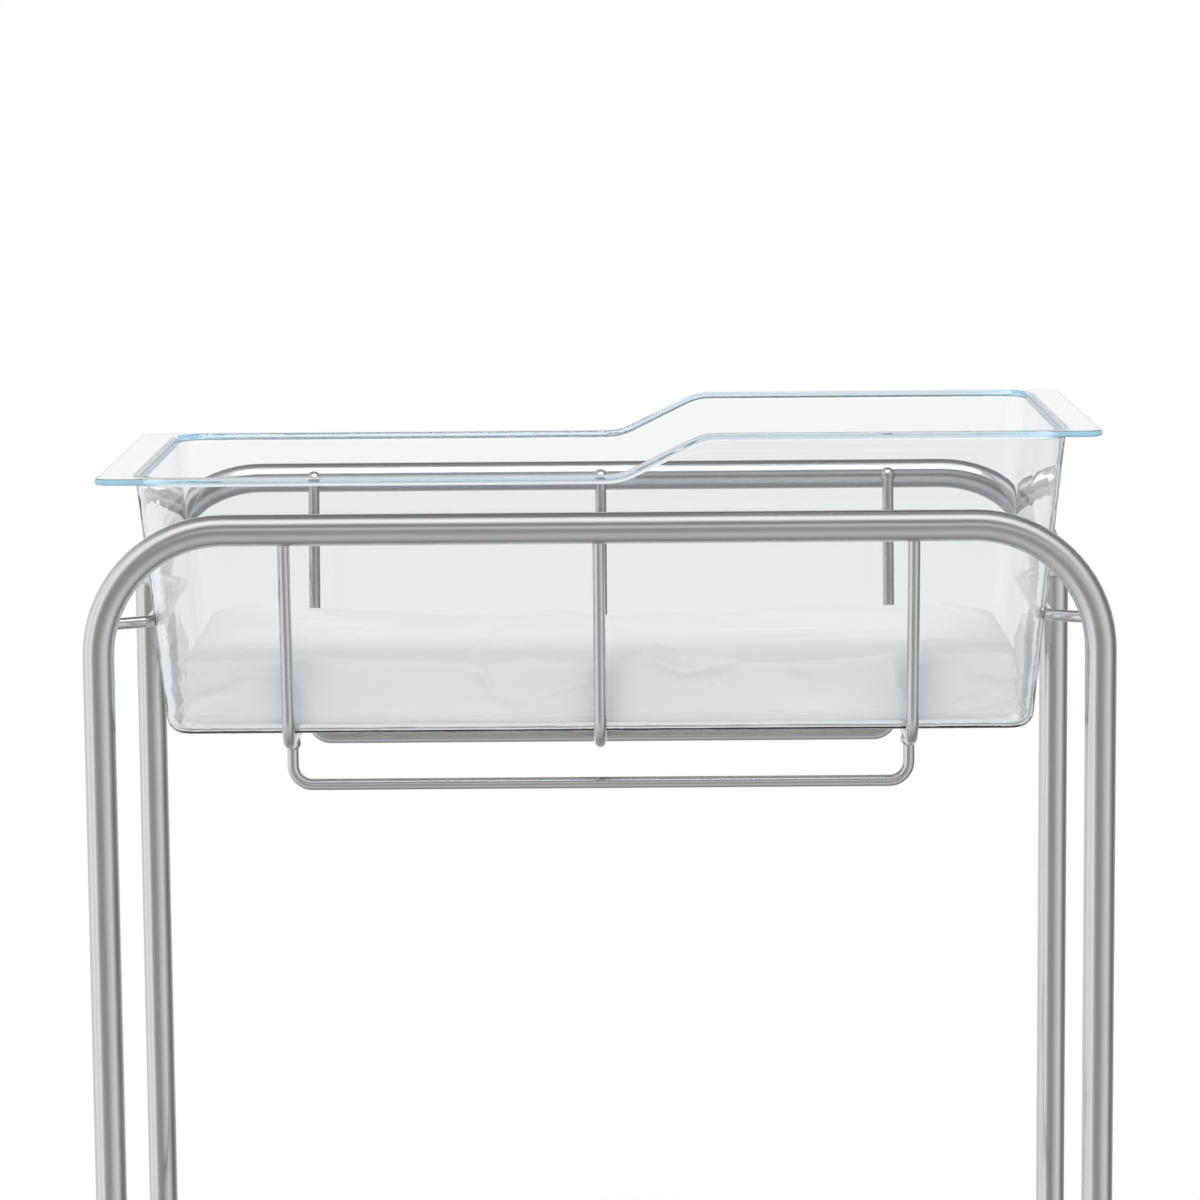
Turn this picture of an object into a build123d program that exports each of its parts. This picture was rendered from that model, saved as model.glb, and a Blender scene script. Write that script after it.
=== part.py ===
# Hospital bassinet: a clear moulded tub in a wheeled stand of steel tube and rod.
# Millimetres. The origin is on the floor under the middle of the stand, +Z is up,
# +X runs along the length to the raised end of the rim, and -Y is the front.

import os
from math import atan, cos, degrees, radians, sin, tan

from build123d import *

# Stand: two tube hoops, one at the front and one at the rear, set out from the tub's rim and walls
LEG_INSET = 2.0
RAIL_WALL_GAP = 6.3
RAIL_HEIGHT = 866.0
TUBE_DIAMETER = 25.4
TUBE_WALL = 1.5
HOOP_BEND = 101.0

# Rods welded between the hoops
CRADLE_ROD_DIAMETER = 10.0
CRADLE_SPACING = 252.0
CRADLE_DEPTH = 181.5
CRADLE_FOOT_BEND = 25.0
CRADLE_TOP_BEND = 9.0
CRADLE_TOP_RISE = 3.0
ROD_DIAMETER = 9.5
LOWER_BAR_DROP = 38.2
LOWER_BAR_INSET = 43.2
LOWER_BAR_BEND = 16.0
END_ROD_DROP = 82.7
END_ROD_STRAIGHT = 53.0
END_ROD_SLANT = 30.0
END_ROD_BEND = 12.0
BEAD_RADIUS = 6.8
BEAD_SINK = 1.5

# Lower frame
FOOT_RAIL_HEIGHT = 190.0
FOOT_RAIL_DIAMETER = 22.0
SPINE_DIAMETER = 19.0
FOOT_WELD = 2.5

# Tub: its rounded floor edge sits in the foot bends of the cradle rods
TUB_SEAT_RISE = 4.4
TUB_FLOOR_LENGTH = 702.5
TUB_FLOOR_WIDTH = 301.5
TUB_LOW_DEPTH = 213.1
TUB_RIM_STEP = 33.0
TUB_WALL = 4.0
TUB_END_DRAFT = 5.5
TUB_SIDE_DRAFT = 6.7
TUB_FLOOR_CORNER = 22.0
TUB_CORNER_SPREAD = 4.0
TUB_FLOOR_EDGE = 13.0
RIM_END_FLANGE = 30.2
RIM_SIDE_FLANGE = 10.2
RIM_THICKNESS = 5.0
RIM_CORNER = 14.0
RIM_EDGE = 2.0
RIM_INNER_EDGE = 3.0
RIM_ROOT = 3.0
RAMP_CENTRE = 50.5
RAMP_ANGLE = 26.0
RAMP_BEND = 50.0

# Mattress: a foam core in a fitted sheet
MATTRESS_THICKNESS = 60.0
MATTRESS_GAP = 3.5
MATTRESS_CORNER = 26.0
MATTRESS_TOP_EDGE = 9.0
MATTRESS_FOOT_EDGE = 14.0
SHEET_THICKNESS = 1.2
SHEET_HEM = 45.0

# Casters
WHEEL_DIAMETER = 100.0
WHEEL_WIDTH = 27.0
TYRE_DEPTH = 9.0
TYRE_SHOULDER = 5.0
RIM_WEB = 5.0
HUB_DIAMETER = 24.0
HUB_HOLE_DIAMETER = 11.0
HUB_HOLES = 6
CASTER_TRAIL = 32.0
FORK_SHEET = 2.5
FORK_SIDE_GAP = 2.5
FORK_HEAD_GAP = 6.0
FORK_BOSS = 11.0
FORK_HEAD_RADIUS = 23.0
FORK_CROWN_FRONT = 18.0
FORK_CROWN_DEPTH = 16.0
FORK_BEND = 2.0
AXLE_DIAMETER = 10.0
AXLE_HEAD = 16.0
AXLE_HEAD_HEIGHT = 5.0
RACE_DIAMETER = 44.0
RACE_HEIGHT = 8.0
STEM_DIAMETER = 12.0
STEM_COLLAR_DIAMETER = 28.0
STEM_COLLAR_HEIGHT = 4.0
STEM_HEAD_DIAMETER = 22.0
STEM_HEAD_HEIGHT = 2.5
STEM_NUT = 18.0
STEM_NUT_HEIGHT = 7.0
SLEEVE_DEPTH = 6.0
SLEEVE_LENGTH = 40.0

# Brake pedals, on one front and one rear caster
PEDAL_TRAVEL = 15.0
PEDAL_PIN_DIAMETER = 5.0
PEDAL_PIN_OUT = 27.0
PEDAL_PIN_RISE = 49.0
PEDAL_REACH = 42.0
PEDAL_THICKNESS = 7.0
PEDAL_SLANT = 14.0
PEDAL_HUB = 4.8
PEDAL_CAM = 0.8
PEDAL_SIDE_GAP = 2.0
PEDAL_TREAD = 1.5
PEDAL_TREADS = 4
PEDAL_TREAD_PITCH = 5.0

# Fits
SOFT_GAP = 0.3
WALL_GAP = 0.6
RUNNING_GAP = 0.05
SIDE_PLAY = 0.5

# Two edges whose centres are nearer than this are the same edge
SAME_EDGE = 0.05

# Worked out from the sizes above
tube_radius = TUBE_DIAMETER / 2
tube_bore = tube_radius - TUBE_WALL
rod_radius = ROD_DIAMETER / 2
cradle_radius = CRADLE_ROD_DIAMETER / 2
cradle_z = RAIL_HEIGHT - CRADLE_DEPTH
tub_z = cradle_z + cradle_radius + TUB_SEAT_RISE
low_rim_z = tub_z + TUB_LOW_DEPTH
high_rim_z = low_rim_z + TUB_RIM_STEP


def tub_half_length(z, inset=0.0):
    """Half the tub's outer length at a height, or the inner one with the wall as inset."""
    return TUB_FLOOR_LENGTH / 2 - inset + (z - tub_z) * tan(radians(TUB_END_DRAFT))


def tub_half_width(z, inset=0.0):
    """Half the tub's outer width at a height, or the inner one with the wall as inset."""
    return TUB_FLOOR_WIDTH / 2 - inset + (z - tub_z) * tan(radians(TUB_SIDE_DRAFT))


rim_end_x = tub_half_length(low_rim_z) + RIM_END_FLANGE
rim_side_y = tub_half_width(low_rim_z) + RIM_SIDE_FLANGE
leg_x = rim_end_x - LEG_INSET
hoop_y = tub_half_width(RAIL_HEIGHT) + RAIL_WALL_GAP + tube_radius
wheel_radius = WHEEL_DIAMETER / 2
fork_plate_z = WHEEL_DIAMETER + FORK_HEAD_GAP
fork_top_z = fork_plate_z + FORK_SHEET
race_z = fork_top_z + SOFT_GAP
collar_z = race_z + RACE_HEIGHT
leg_end_z = collar_z + STEM_COLLAR_HEIGHT
fork_inner = WHEEL_WIDTH + 2 * FORK_SIDE_GAP
fork_outer = fork_inner + 2 * FORK_SHEET

corners = {
    "front_left": (-leg_x, -hoop_y, 1),
    "front_right": (leg_x, -hoop_y, -1),
    "rear_left": (-leg_x, hoop_y, 1),
    "rear_right": (leg_x, hoop_y, -1),
}
braked = ("front_left", "rear_right")


def save(piece, name):
    """Label a finished piece and write it to its own file."""
    piece.part.label = name
    export_step(piece.part, f"parts/{name}.step")


def bent_bar(route, bends, radius, bore=0.0):
    """A round bar or tube along straight runs joined by arcs."""
    with BuildPart() as bar:
        with BuildLine() as path:
            FilletPolyline(*route, radius=bends)
        with BuildSketch(path.line ^ 0):
            Circle(radius)
            if bore:
                Circle(bore, mode=Mode.SUBTRACT)
        sweep(path=path.line)
    return bar


def straight_bar(start, end, radius, bore=0.0):
    """A straight round bar or tube between two points."""
    with BuildPart() as bar:
        with BuildLine() as path:
            Line(start, end)
        with BuildSketch(path.line ^ 0):
            Circle(radius)
            if bore:
                Circle(bore, mode=Mode.SUBTRACT)
        sweep(path=path.line)
    return bar


# Hoops: one tube each, up one leg, along the rail and down the other leg

def hoop_route(y):
    """Centreline corners of a hoop that stands at depth y."""
    return [
        (-leg_x, y, leg_end_z),
        (-leg_x, y, RAIL_HEIGHT),
        (leg_x, y, RAIL_HEIGHT),
        (leg_x, y, leg_end_z),
    ]


front_hoop = bent_bar(hoop_route(-hoop_y), HOOP_BEND, tube_radius, tube_bore)
rear_hoop = bent_bar(hoop_route(hoop_y), HOOP_BEND, tube_radius, tube_bore)

# The same hoops filled in, to cope the ends of the pieces welded to them
front_fill = bent_bar(hoop_route(-hoop_y), HOOP_BEND, tube_radius)
rear_fill = bent_bar(hoop_route(hoop_y), HOOP_BEND, tube_radius)


# Tub: walls with draft on every side, a rounded floor edge and a stepped rim

def tub_form(inset):
    """The tub's solid outer form, or its inner form when inset by the wall."""
    bottom = tub_z + inset
    top = high_rim_z + RIM_THICKNESS
    with BuildPart() as form:
        for z, corner in ((bottom, TUB_FLOOR_CORNER), (top, TUB_FLOOR_CORNER + TUB_CORNER_SPREAD)):
            with BuildSketch(Plane.XY.offset(z)):
                RectangleRounded(
                    2 * tub_half_length(z, inset),
                    2 * tub_half_width(z, inset),
                    corner - inset,
                )
        loft()
        fillet(form.faces().sort_by(Axis.Z)[0].edges(), TUB_FLOOR_EDGE - inset)
    return form


def rim_line(drop):
    """The rim's long profile, a ramp between two levels, moved square to itself by drop."""
    run = TUB_RIM_STEP / tan(radians(RAMP_ANGLE))
    shift = drop * tan(radians(RAMP_ANGLE / 2))
    return FilletPolyline(
        (-rim_end_x, low_rim_z - drop),
        (RAMP_CENTRE - run / 2 + shift, low_rim_z - drop),
        (RAMP_CENTRE + run / 2 + shift, high_rim_z - drop),
        (rim_end_x, high_rim_z - drop),
        radius=[RAMP_BEND + drop, RAMP_BEND - drop],
    )


def below_rim(drop, bottom, depth):
    """Everything under the rim's long profile, across the depth given."""
    with BuildPart() as block:
        with BuildSketch(Plane.XZ):
            with BuildLine():
                top = rim_line(drop)
                Polyline(top @ 1, (rim_end_x, bottom), (-rim_end_x, bottom), top @ 0)
            make_face()
        extrude(amount=depth / 2, both=True)
    return block


with BuildPart() as rim:
    with BuildSketch(Plane.XZ):
        with BuildLine():
            upper = rim_line(0)
            lower = rim_line(RIM_THICKNESS)
            Line(upper @ 0, lower @ 0)
            Line(upper @ 1, lower @ 1)
        make_face()
    extrude(amount=rim_side_y, both=True)
    fillet(rim.edges().filter_by(Axis.Z), RIM_CORNER)
    fillet(rim.faces().filter_by(Axis.Y).edges() + rim.faces().filter_by(Axis.X).edges(), RIM_EDGE)

outer_form = tub_form(0)
inner_form = tub_form(TUB_WALL)
trim = below_rim(RIM_THICKNESS, tub_z - TUB_WALL, 2 * rim_side_y)

with BuildPart() as tub:
    add(outer_form.part)
    add(trim.part, mode=Mode.INTERSECT)
    wall_top = [edge.center() for edge in tub.edges(Select.NEW)]
    add(rim.part)
    rim_root = [e for e in tub.edges() if min((e.center() - c).length for c in wall_top) < SAME_EDGE]
    fillet(rim_root, RIM_ROOT)
    add(inner_form.part, mode=Mode.SUBTRACT)
    fillet(tub.edges(Select.NEW), RIM_INNER_EDGE)


# Cradle rods: each hangs from both rails and carries the tub's floor

def cradle_y(z):
    """Distance of a cradle rod's leg from the middle at a height, just outside the tub's wall."""
    return tub_half_width(z) + (WALL_GAP + cradle_radius) / cos(radians(TUB_SIDE_DRAFT))


def cradle_rod(x):
    top_z = RAIL_HEIGHT + CRADLE_TOP_RISE
    route = [
        (x, -hoop_y, top_z),
        (x, -cradle_y(top_z), top_z),
        (x, -cradle_y(cradle_z), cradle_z),
        (x, cradle_y(cradle_z), cradle_z),
        (x, cradle_y(top_z), top_z),
        (x, hoop_y, top_z),
    ]
    bends = [CRADLE_TOP_BEND, CRADLE_FOOT_BEND, CRADLE_FOOT_BEND, CRADLE_TOP_BEND]
    bar = bent_bar(route, bends, cradle_radius)
    bead_y = hoop_y - tube_radius + BEAD_SINK
    with BuildPart() as rod:
        add(bar.part)
        with Locations((x, -bead_y, RAIL_HEIGHT), (x, bead_y, RAIL_HEIGHT)):
            Sphere(BEAD_RADIUS)
        add(front_fill.part, mode=Mode.SUBTRACT)
        add(rear_fill.part, mode=Mode.SUBTRACT)
    return rod


# Lower bars: a shallow U under the outer two cradle rods, front and rear

def lower_bar(y):
    bar_z = cradle_z - LOWER_BAR_DROP
    route = [
        (-CRADLE_SPACING, y, cradle_z),
        (-CRADLE_SPACING, y, bar_z),
        (CRADLE_SPACING, y, bar_z),
        (CRADLE_SPACING, y, cradle_z),
    ]
    bar = bent_bar(route, LOWER_BAR_BEND, rod_radius)
    bead_z = cradle_z - cradle_radius + BEAD_SINK
    with BuildPart() as rod:
        add(bar.part)
        with Locations((-CRADLE_SPACING, y, bead_z), (CRADLE_SPACING, y, bead_z)):
            Sphere(BEAD_RADIUS)
        with BuildSketch(Plane.XZ.offset(-y)):
            with Locations((-CRADLE_SPACING, cradle_z), (CRADLE_SPACING, cradle_z)):
                Circle(cradle_radius)
        extrude(amount=2 * BEAD_RADIUS, both=True, mode=Mode.SUBTRACT)
    return rod


# End rods: level across each end of the tub, welded to the facing sides of the legs

def end_rod(side):
    z = RAIL_HEIGHT - END_ROD_DROP
    rod_x = tub_half_length(z) + (WALL_GAP + rod_radius) / cos(radians(TUB_END_DRAFT))
    bend_y = hoop_y - END_ROD_STRAIGHT
    run_y = bend_y - (leg_x - rod_x) * tan(radians(END_ROD_SLANT))
    route = [
        (side * leg_x, -hoop_y, z),
        (side * leg_x, -bend_y, z),
        (side * rod_x, -run_y, z),
        (side * rod_x, run_y, z),
        (side * leg_x, bend_y, z),
        (side * leg_x, hoop_y, z),
    ]
    bar = bent_bar(route, END_ROD_BEND, rod_radius)
    bead_y = hoop_y - tube_radius + BEAD_SINK
    with BuildPart() as rod:
        add(bar.part)
        with Locations((side * leg_x, -bead_y, z), (side * leg_x, bead_y, z)):
            Sphere(BEAD_RADIUS)
        add(front_fill.part, mode=Mode.SUBTRACT)
        add(rear_fill.part, mode=Mode.SUBTRACT)
    return rod


# Lower frame: a tube between the feet of each end, and a spine between the two

def welded_tube(start, end, radius, stop_radius, stop_direction):
    """A tube coped at both ends to round stops, with a fillet of weld around each joint."""
    with BuildPart() as tube:
        add(straight_bar(start, end, radius).part)
        for point in (start, end):
            reach = Vector(*stop_direction) * (2 * radius)
            add(straight_bar(Vector(*point) - reach, Vector(*point) + reach, stop_radius).part)
            fillet(tube.edges(Select.NEW), FOOT_WELD)
        for point in (start, end):
            reach = Vector(*stop_direction) * (3 * radius)
            stop = straight_bar(Vector(*point) - reach, Vector(*point) + reach, stop_radius)
            add(stop.part, mode=Mode.SUBTRACT)
        add(straight_bar(start, end, radius - TUBE_WALL).part, mode=Mode.SUBTRACT)
    return tube


def foot_rail(x):
    start = (x, -hoop_y, FOOT_RAIL_HEIGHT)
    end = (x, hoop_y, FOOT_RAIL_HEIGHT)
    return welded_tube(start, end, FOOT_RAIL_DIAMETER / 2, tube_radius, (0, 0, 1))


spine = welded_tube(
    (-leg_x, 0, FOOT_RAIL_HEIGHT),
    (leg_x, 0, FOOT_RAIL_HEIGHT),
    SPINE_DIAMETER / 2,
    FOOT_RAIL_DIAMETER / 2,
    (0, 1, 0),
)


# Mattress: the foam core and, around it, a sheet that is open underneath inside its hem

mattress_z = tub_z + TUB_WALL + SOFT_GAP
mattress_length = 2 * (tub_half_length(mattress_z, TUB_WALL) - MATTRESS_GAP)
mattress_width = 2 * (tub_half_width(mattress_z, TUB_WALL) - MATTRESS_GAP)


def mattress_block(inset):
    """The mattress as a block with soft edges, or its core when inset by the sheet."""
    with BuildPart() as block:
        with BuildSketch(Plane.XY.offset(mattress_z + inset)):
            RectangleRounded(
                mattress_length - 2 * inset,
                mattress_width - 2 * inset,
                MATTRESS_CORNER - inset,
            )
        extrude(amount=MATTRESS_THICKNESS - 2 * inset)
        fillet(block.faces().sort_by(Axis.Z)[-1].edges(), MATTRESS_TOP_EDGE - inset)
        fillet(block.faces().sort_by(Axis.Z)[0].edges(), MATTRESS_FOOT_EDGE - inset)
    return block


mattress_foam = mattress_block(SHEET_THICKNESS)
with BuildPart() as mattress_sheet:
    add(mattress_block(0).part)
    add(mattress_foam.part, mode=Mode.SUBTRACT)
    with BuildSketch(Plane.XY.offset(mattress_z)):
        RectangleRounded(
            mattress_length - 2 * SHEET_HEM,
            mattress_width - 2 * SHEET_HEM,
            MATTRESS_CORNER,
        )
    extrude(amount=SHEET_THICKNESS, mode=Mode.SUBTRACT)


# Casters: each is drawn on a plane through its swivel axis, with the wheel trailing

def side_plane(corner):
    """Upright plane of a caster: across it runs the trail, up it the height."""
    x, y, trail = corner
    return Plane(origin=(x, y, 0), x_dir=(trail, 0, 0), z_dir=(0, -trail, 0))


def level(corner, z):
    """Level plane at a height, centred on a caster's swivel axis."""
    return Plane(origin=(corner[0], corner[1], z), x_dir=(corner[2], 0, 0), z_dir=(0, 0, 1))


def wheel_plane(corner):
    """Upright plane through a caster's axle: across it runs the axle, up it the radius."""
    x, y, trail = corner
    return Plane(
        origin=(x + trail * CASTER_TRAIL, y, wheel_radius), x_dir=(0, 1, 0), z_dir=(1, 0, 0)
    )


def axle_axis(corner):
    return Axis(wheel_plane(corner).origin, (0, 1, 0))


sleeve_z = leg_end_z + SLEEVE_DEPTH
stem_nut_z = sleeve_z + SLEEVE_LENGTH


def caster_stem(corner):
    """Pin that the fork swivels on, with its lower head, its collar and its expander nut."""
    with BuildPart() as stem:
        with BuildSketch(level(corner, fork_plate_z - SOFT_GAP - STEM_HEAD_HEIGHT)):
            Circle(STEM_HEAD_DIAMETER / 2)
        extrude(amount=STEM_HEAD_HEIGHT)
        with BuildSketch(level(corner, fork_plate_z - SOFT_GAP)):
            Circle(STEM_DIAMETER / 2)
        extrude(amount=stem_nut_z + STEM_NUT_HEIGHT - fork_plate_z + SOFT_GAP)
        with BuildSketch(level(corner, collar_z)):
            Circle(STEM_COLLAR_DIAMETER / 2)
        extrude(amount=STEM_COLLAR_HEIGHT)
        with BuildSketch(level(corner, stem_nut_z)):
            RegularPolygon(STEM_NUT / 2, 6)
        extrude(amount=STEM_NUT_HEIGHT)
    return stem


def caster_sleeve(corner):
    """Rubber sleeve that the stem's nut squeezes against the inside of the leg."""
    with BuildPart() as sleeve:
        with BuildSketch(level(corner, sleeve_z)):
            Circle(tube_bore)
            Circle(STEM_DIAMETER / 2, mode=Mode.SUBTRACT)
        extrude(amount=SLEEVE_LENGTH)
    return sleeve


def caster_race(corner):
    """Fixed upper ring of the swivel bearing, under the stem's collar."""
    with BuildPart() as race:
        with BuildSketch(level(corner, race_z)):
            Circle(RACE_DIAMETER / 2)
        extrude(amount=RACE_HEIGHT)
        fillet(race.edges().group_by(Axis.Z)[-1], RACE_HEIGHT / 2)
        with BuildSketch(level(corner, race_z)):
            Circle(STEM_DIAMETER / 2)
        extrude(amount=RACE_HEIGHT, mode=Mode.SUBTRACT)
    return race


def caster_fork(corner, has_brake):
    """Pressed steel fork: a crown with a round head, and a leg each side of the wheel."""
    side = side_plane(corner)
    axle = (CASTER_TRAIL, wheel_radius)
    pin = (CASTER_TRAIL + PEDAL_PIN_OUT, wheel_radius + PEDAL_PIN_RISE)
    crown_length = FORK_CROWN_FRONT + pin[0] + FORK_BOSS / 2
    crown_centre = (crown_length / 2 - FORK_CROWN_FRONT, fork_top_z - FORK_CROWN_DEPTH / 2)
    with BuildPart() as fork:
        with BuildSketch(side):
            with Locations(axle):
                Circle(FORK_BOSS)
            with Locations(crown_centre):
                RectangleRounded(crown_length, FORK_CROWN_DEPTH, FORK_BEND)
            make_hull()
        extrude(amount=fork_outer / 2, both=True)
        fillet(fork.faces().sort_by(Axis.Z)[-1].edges().filter_by(Axis.X), FORK_BEND)
        with BuildSketch(side):
            with Locations((CASTER_TRAIL, fork_plate_z / 2)):
                Rectangle(2 * WHEEL_DIAMETER, fork_plate_z)
        extrude(amount=fork_inner / 2, both=True, mode=Mode.SUBTRACT)
        with BuildSketch(level(corner, fork_plate_z)):
            Circle(FORK_HEAD_RADIUS)
        extrude(amount=FORK_SHEET)
        with BuildSketch(level(corner, fork_plate_z)):
            Circle(STEM_DIAMETER / 2 + RUNNING_GAP)
        extrude(amount=FORK_SHEET, mode=Mode.SUBTRACT)
        with BuildSketch(side):
            with Locations(axle):
                Circle(AXLE_DIAMETER / 2)
            if has_brake:
                with Locations(pin):
                    Circle(PEDAL_PIN_DIAMETER / 2)
        extrude(amount=fork_outer, both=True, mode=Mode.SUBTRACT)
    return fork


def caster_axle(corner):
    """Axle bolt with its hexagon head and nut, one each side of the fork."""
    side = side_plane(corner)
    with BuildPart() as axle:
        with BuildSketch(side):
            with Locations((CASTER_TRAIL, wheel_radius)):
                Circle(AXLE_DIAMETER / 2)
        extrude(amount=fork_outer / 2, both=True)
        for turned in (1, -1):
            with BuildSketch(side.offset(turned * fork_outer / 2)):
                with Locations((CASTER_TRAIL, wheel_radius)):
                    RegularPolygon(AXLE_HEAD / 2, 6)
            extrude(amount=turned * AXLE_HEAD_HEIGHT)
    return axle


hub_rim = wheel_radius - TYRE_DEPTH
hub_half_length = fork_inner / 2 - SIDE_PLAY
rim_half_width = WHEEL_WIDTH / 2 - TYRE_SHOULDER / 2


def caster_hub(corner):
    """Moulded wheel centre: a boss, a thin web with round holes, and the rim."""
    with BuildPart() as hub:
        with BuildSketch(wheel_plane(corner)):
            with Locations((0, HUB_DIAMETER / 4)):
                Rectangle(2 * hub_half_length, HUB_DIAMETER / 2)
            with Locations((0, hub_rim / 2)):
                Rectangle(RIM_WEB, hub_rim)
            with Locations((0, hub_rim - RIM_WEB / 2)):
                Rectangle(2 * rim_half_width, RIM_WEB)
            with Locations((0, 0)):
                Rectangle(WHEEL_WIDTH * 2, AXLE_DIAMETER + 2 * RUNNING_GAP, mode=Mode.SUBTRACT)
        revolve(axis=axle_axis(corner))
        with BuildSketch(side_plane(corner)):
            with Locations((CASTER_TRAIL, wheel_radius)):
                with PolarLocations((HUB_DIAMETER / 2 + hub_rim - RIM_WEB) / 2, HUB_HOLES):
                    Circle(HUB_HOLE_DIAMETER / 2)
        extrude(amount=RIM_WEB, both=True, mode=Mode.SUBTRACT)
    return hub


def caster_tyre(corner):
    """Soft tread ring on the hub's rim, round at both shoulders."""
    with BuildPart() as tyre:
        with BuildSketch(wheel_plane(corner)) as section:
            with Locations((0, wheel_radius - TYRE_DEPTH / 2)):
                Rectangle(WHEEL_WIDTH, TYRE_DEPTH)
            fillet(section.vertices().group_by(Axis.Y)[-1], TYRE_SHOULDER)
        revolve(axis=axle_axis(corner))
    return tyre


def pedal_width():
    return fork_inner - 2 * PEDAL_SIDE_GAP


def caster_pedal(corner):
    """Brake pedal: a ribbed lever on a pin, whose cam turns down to the tread."""
    side = side_plane(corner)
    pin = Vector(CASTER_TRAIL + PEDAL_PIN_OUT, wheel_radius + PEDAL_PIN_RISE)
    to_tread = degrees(atan(PEDAL_PIN_RISE / PEDAL_PIN_OUT)) + 180 + PEDAL_TRAVEL
    cam = pin + Vector(cos(radians(to_tread)), sin(radians(to_tread))) * PEDAL_CAM
    along = Vector(cos(radians(PEDAL_SLANT)), -sin(radians(PEDAL_SLANT)))
    square = Vector(-along.Y, along.X)
    arm = pin + along * (PEDAL_REACH / 2)
    with BuildPart() as pedal:
        with BuildSketch(side):
            with Locations(cam):
                Circle(PEDAL_HUB)
            with Locations(Location(arm, -PEDAL_SLANT)):
                RectangleRounded(PEDAL_REACH, PEDAL_THICKNESS, PEDAL_THICKNESS / 2 - RUNNING_GAP)
            for tread in range(PEDAL_TREADS):
                reach = PEDAL_REACH - PEDAL_THICKNESS / 2 - tread * PEDAL_TREAD_PITCH
                with Locations(pin + along * reach + square * (PEDAL_THICKNESS / 2)):
                    Circle(PEDAL_TREAD)
        extrude(amount=pedal_width() / 2, both=True)
        with BuildSketch(side):
            with Locations(pin):
                Circle(PEDAL_PIN_DIAMETER / 2 + RUNNING_GAP)
        extrude(amount=pedal_width(), both=True, mode=Mode.SUBTRACT)
    return pedal


def caster_pedal_pin(corner):
    """Pin that the brake pedal turns on, flush with both legs of the fork."""
    with BuildPart() as pin:
        with BuildSketch(side_plane(corner)):
            with Locations((CASTER_TRAIL + PEDAL_PIN_OUT, wheel_radius + PEDAL_PIN_RISE)):
                Circle(PEDAL_PIN_DIAMETER / 2)
        extrude(amount=fork_outer / 2, both=True)
    return pin


os.makedirs("parts", exist_ok=True)
save(front_hoop, "front_hoop")
save(rear_hoop, "rear_hoop")
for where, x in (("left", -CRADLE_SPACING), ("middle", 0.0), ("right", CRADLE_SPACING)):
    save(cradle_rod(x), f"cradle_rod_{where}")
save(lower_bar(LOWER_BAR_INSET - cradle_y(cradle_z)), "lower_bar_front")
save(lower_bar(cradle_y(cradle_z) - LOWER_BAR_INSET), "lower_bar_rear")
for where, side in (("left", -1), ("right", 1)):
    save(end_rod(side), f"end_rod_{where}")
    save(foot_rail(side * leg_x), f"foot_rail_{where}")
save(spine, "spine_tube")
save(tub, "tub")
save(mattress_foam, "mattress_foam")
save(mattress_sheet, "mattress_sheet")
for where, corner in corners.items():
    save(caster_stem(corner), f"caster_stem_{where}")
    save(caster_sleeve(corner), f"caster_sleeve_{where}")
    save(caster_race(corner), f"caster_race_{where}")
    save(caster_fork(corner, where in braked), f"caster_fork_{where}")
    save(caster_axle(corner), f"caster_axle_{where}")
    save(caster_hub(corner), f"caster_hub_{where}")
    save(caster_tyre(corner), f"caster_tyre_{where}")
for where in braked:
    save(caster_pedal(corners[where]), f"brake_pedal_{where}")
    save(caster_pedal_pin(corners[where]), f"brake_pin_{where}")
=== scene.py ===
"""Hospital bassinet: a clear tub with its mattress in a wheeled stand of satin steel."""

import math

import bmesh
import bpy
from bpy.props import FloatProperty, FloatVectorProperty, PointerProperty
from mathutils import Matrix, Vector, noise


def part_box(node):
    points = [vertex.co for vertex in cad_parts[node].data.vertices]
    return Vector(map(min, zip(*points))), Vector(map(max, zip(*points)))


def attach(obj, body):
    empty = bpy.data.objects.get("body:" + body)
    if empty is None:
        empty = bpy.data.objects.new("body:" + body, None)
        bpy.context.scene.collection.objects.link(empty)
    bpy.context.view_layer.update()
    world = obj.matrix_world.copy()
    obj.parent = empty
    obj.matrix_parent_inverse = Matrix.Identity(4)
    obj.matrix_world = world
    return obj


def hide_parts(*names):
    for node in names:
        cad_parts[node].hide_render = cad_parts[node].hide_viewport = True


bl_info = {
    "name": "Hospital bassinet",
    "version": (1, 0, 0),
    "blender": (4, 5, 0),
    "location": "View3D > Sidebar > Bassinet",
    "description": "Dresses the bassinet's frame in its steel, clear plastic, cloth and rubber",
    "category": "Object",
}

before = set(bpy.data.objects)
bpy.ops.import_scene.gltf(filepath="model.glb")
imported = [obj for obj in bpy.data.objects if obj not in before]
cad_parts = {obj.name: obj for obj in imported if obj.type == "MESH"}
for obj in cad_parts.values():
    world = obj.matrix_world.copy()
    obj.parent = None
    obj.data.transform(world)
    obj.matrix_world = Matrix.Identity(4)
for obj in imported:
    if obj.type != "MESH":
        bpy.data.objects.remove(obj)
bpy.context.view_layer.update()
MM = 0.001

# The radius that each hoop's tube is bent to, along its centreline, and that of the rim's corners
HOOP_BEND = 101.0 * MM
RIM_CORNER = 14.0 * MM


def linear(hex_colour):
    """An sRGB hex colour as linear red, green, blue and alpha."""
    channels = [int(hex_colour[i : i + 2], 16) / 255 for i in (1, 3, 5)]
    return tuple(c / 12.92 if c <= 0.04045 else ((c + 0.055) / 1.055) ** 2.4 for c in channels) + (1.0,)


def add_node(tree, kind, inputs=None, **settings):
    """A new node with its settings, and its inputs as values or as the sockets that feed them."""
    node = tree.nodes.new(kind)
    for name, value in settings.items():
        setattr(node, name, value)
    for name, value in (inputs or {}).items():
        if isinstance(value, bpy.types.NodeSocket):
            tree.links.new(value, node.inputs[name])
        else:
            node.inputs[name].default_value = value
    return node


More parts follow.
